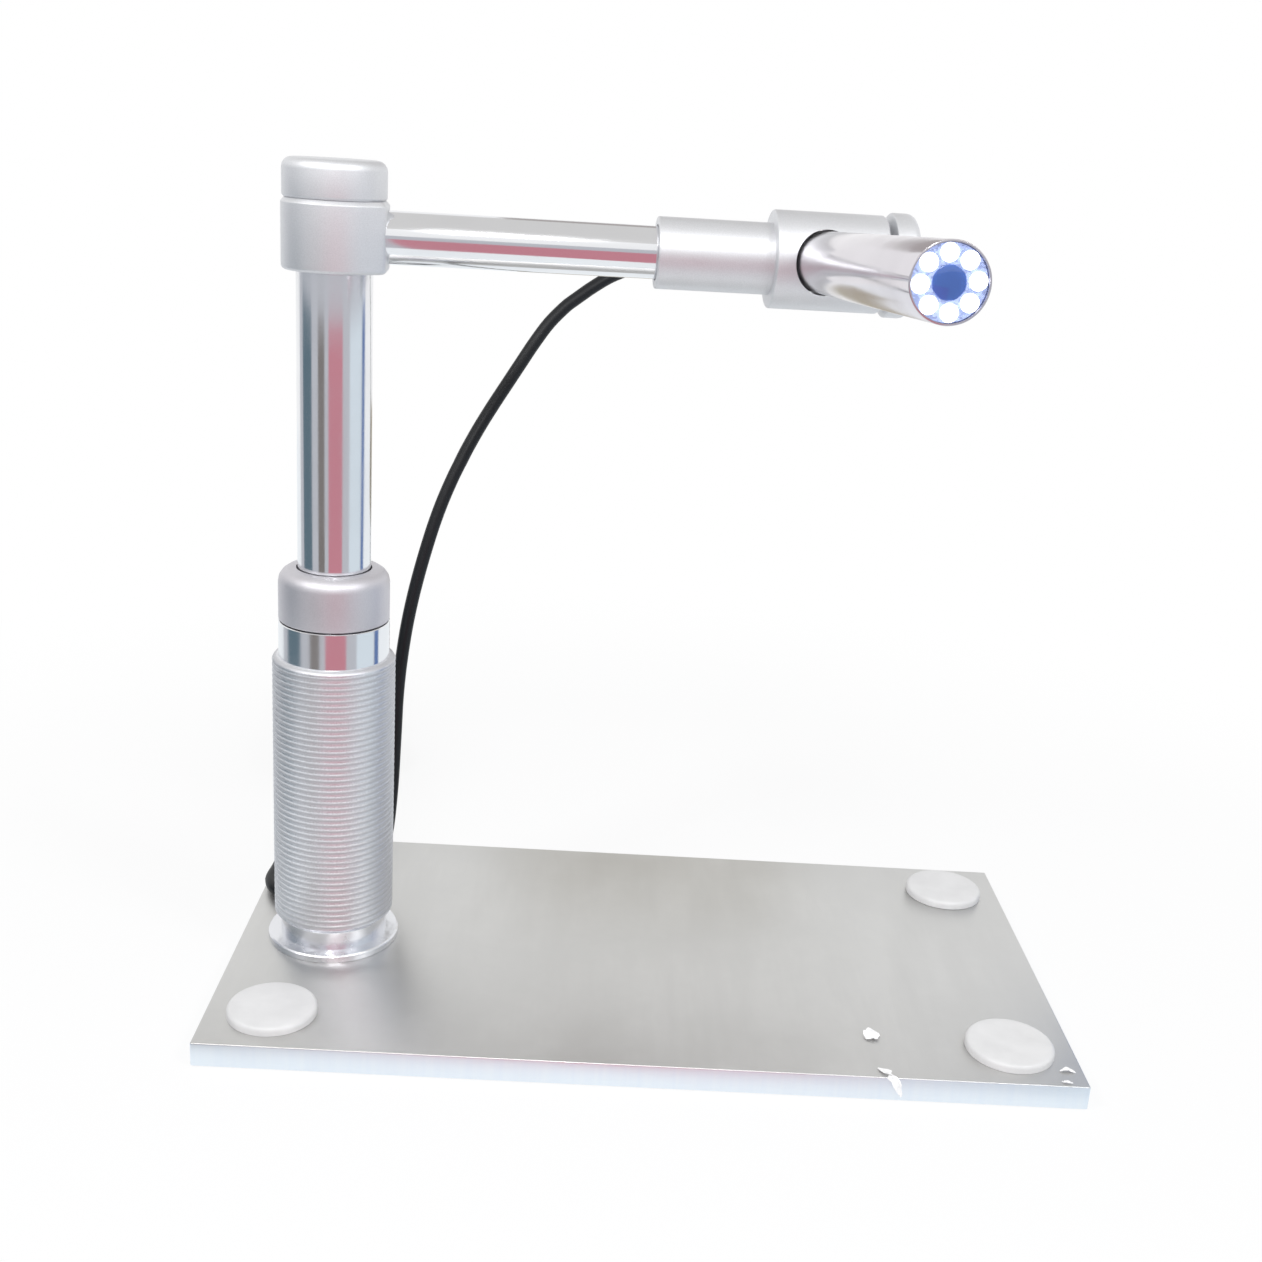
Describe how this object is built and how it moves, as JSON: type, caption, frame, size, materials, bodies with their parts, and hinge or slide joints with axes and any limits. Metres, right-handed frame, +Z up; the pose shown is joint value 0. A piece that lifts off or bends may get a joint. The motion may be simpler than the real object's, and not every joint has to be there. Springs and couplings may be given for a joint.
{
  "type": "usb digital microscope",
  "caption": "Slim pen microscope with a ring of lamps round its lens, held by a clamp arm on a sliding column over a flat base plate.",
  "frame": {"origin": "middle of the base plate's underside", "axes": "+X along the plate from the column to its free end, -Y the way the microscope faces at rest, +Z up along the column"},
  "size_m": [0.2025, 0.2683, 0.1735],
  "materials": {
    "plate_metal": "satin rolled sheet metal with a clear film",
    "chrome": "bright polished plating",
    "satin_metal": "satin plated metal",
    "barrel_metal": "polished dark satin metal",
    "steel": "plain machined steel",
    "brass": "machined brass",
    "pad_plastic": "translucent soft plastic",
    "black_plastic": "black moulded plastic",
    "black_rubber": "black flexible jacket",
    "circuit_board": "blue solder mask",
    "sensor_glass": "dark glossy sensor",
    "led_white": "clear white lamp lens",
    "blue_glass": "blue coated window",
    "clear_glass": "clear lens"
  },
  "bodies": {
    "stand": {"base_plate": "plate_metal", "pad_front_left": "pad_plastic", "pad_front_right": "pad_plastic", "pad_rear_left": "pad_plastic", "pad_rear_right": "pad_plastic", "foot_ring": "chrome", "base_screw": "steel", "handle": "satin_metal", "collet": "brass", "cord_run": "black_rubber", "cord_hank": "black_rubber", "cord_tail": "black_rubber", "cord_tie": "black_plastic", "plug_body": "black_rubber", "plug_shell": "chrome", "plug_tongue": "black_plastic"},
    "lock_collar": {"lock_collar": "satin_metal"},
    "column": {"column_tube": "chrome", "guide_ring": "black_plastic", "column_insert": "steel", "cord_hanging": "black_rubber"},
    "head_cap": {"head_cap": "satin_metal"},
    "head": {"elbow_head": "satin_metal", "arm_tube": "chrome", "arm_stud": "steel", "pivot_plug": "steel", "pivot_screw": "steel", "cord_upper": "black_rubber"},
    "clamp": {"arm_sleeve": "satin_metal", "clamp_body": "satin_metal", "cord_bridge": "black_rubber"},
    "clamp_shoe": {"clamp_shoe": "black_plastic"},
    "clamp_knob": {"clamp_screw": "steel", "clamp_knob": "satin_metal"},
    "microscope": {"barrel_tube": "barrel_metal", "led_board": "circuit_board", "front_window": "blue_glass", "led_1": "led_white", "led_2": "led_white", "led_3": "led_white", "led_4": "led_white", "led_5": "led_white", "led_6": "led_white", "led_7": "led_white", "led_8": "led_white", "lens_cell": "black_plastic", "lens": "clear_glass", "rear_cap": "barrel_metal", "strain_relief": "black_rubber", "cord_near": "black_rubber"},
    "focus_ring": {"focus_ring": "barrel_metal"},
    "sensor_carriage": {"sensor_carriage": "black_plastic", "sensor_board": "circuit_board", "image_sensor": "sensor_glass"}
  },
  "joints": [
    {"name": "lock_collar_twist", "type": "hinge", "parent": "stand", "child": "lock_collar", "pos_m": [-0.07, 0, 0.084], "axis": [0, 0, 1], "range_deg": [0, 120]},
    {"name": "column_slide", "type": "slide", "parent": "stand", "child": "column", "axis": [0, 0, 1], "range_m": [-0.052, 0], "deforming": ["cord_hanging"]},
    {"name": "head_swivel", "type": "hinge", "parent": "column", "child": "head", "pos_m": [-0.07, 0, 0.159], "axis": [0, 0, 1], "range_deg": [-120, 120], "deforming": ["cord_upper"]},
    {"name": "head_cap_twist", "type": "hinge", "parent": "column", "child": "head_cap", "pos_m": [-0.07, 0, 0.1698], "axis": [0, 0, 1], "range_deg": [0, 180]},
    {"name": "clamp_roll", "type": "hinge", "parent": "head", "child": "clamp", "pos_m": [0.02668, 0.00693, 0.15915], "axis": [0.9974, 0.0715, 0], "range_deg": [-30, 120], "deforming": ["cord_bridge"]},
    {"name": "clamp_shoe_travel", "type": "slide", "parent": "clamp", "child": "clamp_shoe", "axis": [0.9974, 0.0715, 0], "range_m": [0, 0.0008]},
    {"name": "clamp_knob_twist", "type": "hinge", "parent": "clamp_shoe", "child": "clamp_knob", "pos_m": [0.04171, 0.00801, 0.15915], "axis": [0.9974, 0.0715, 0], "range_deg": [0, 360]},
    {"name": "microscope_slide", "type": "slide", "parent": "clamp", "child": "microscope", "axis": [0.0714, -0.9964, 0.0462], "range_m": [-0.06, 0.004], "deforming": ["cord_near"]},
    {"name": "focus_ring_twist", "type": "hinge", "parent": "microscope", "child": "focus_ring", "pos_m": [0.02517, 0.02805, 0.15817], "axis": [0.0714, -0.9964, 0.0462], "range_deg": [-135, 135]},
    {"name": "sensor_travel", "type": "slide", "parent": "microscope", "child": "sensor_carriage", "axis": [0.0714, -0.9964, 0.0462], "range_m": [-0.0015, 0.0015]}
  ],
  "couplings": [
    {"joint": "clamp_knob_twist", "follows": "clamp_shoe_travel", "rad_per_m": 7853.9},
    {"joint": "focus_ring_twist", "follows": "sensor_travel", "rad_per_m": 1570.7}
  ]
}
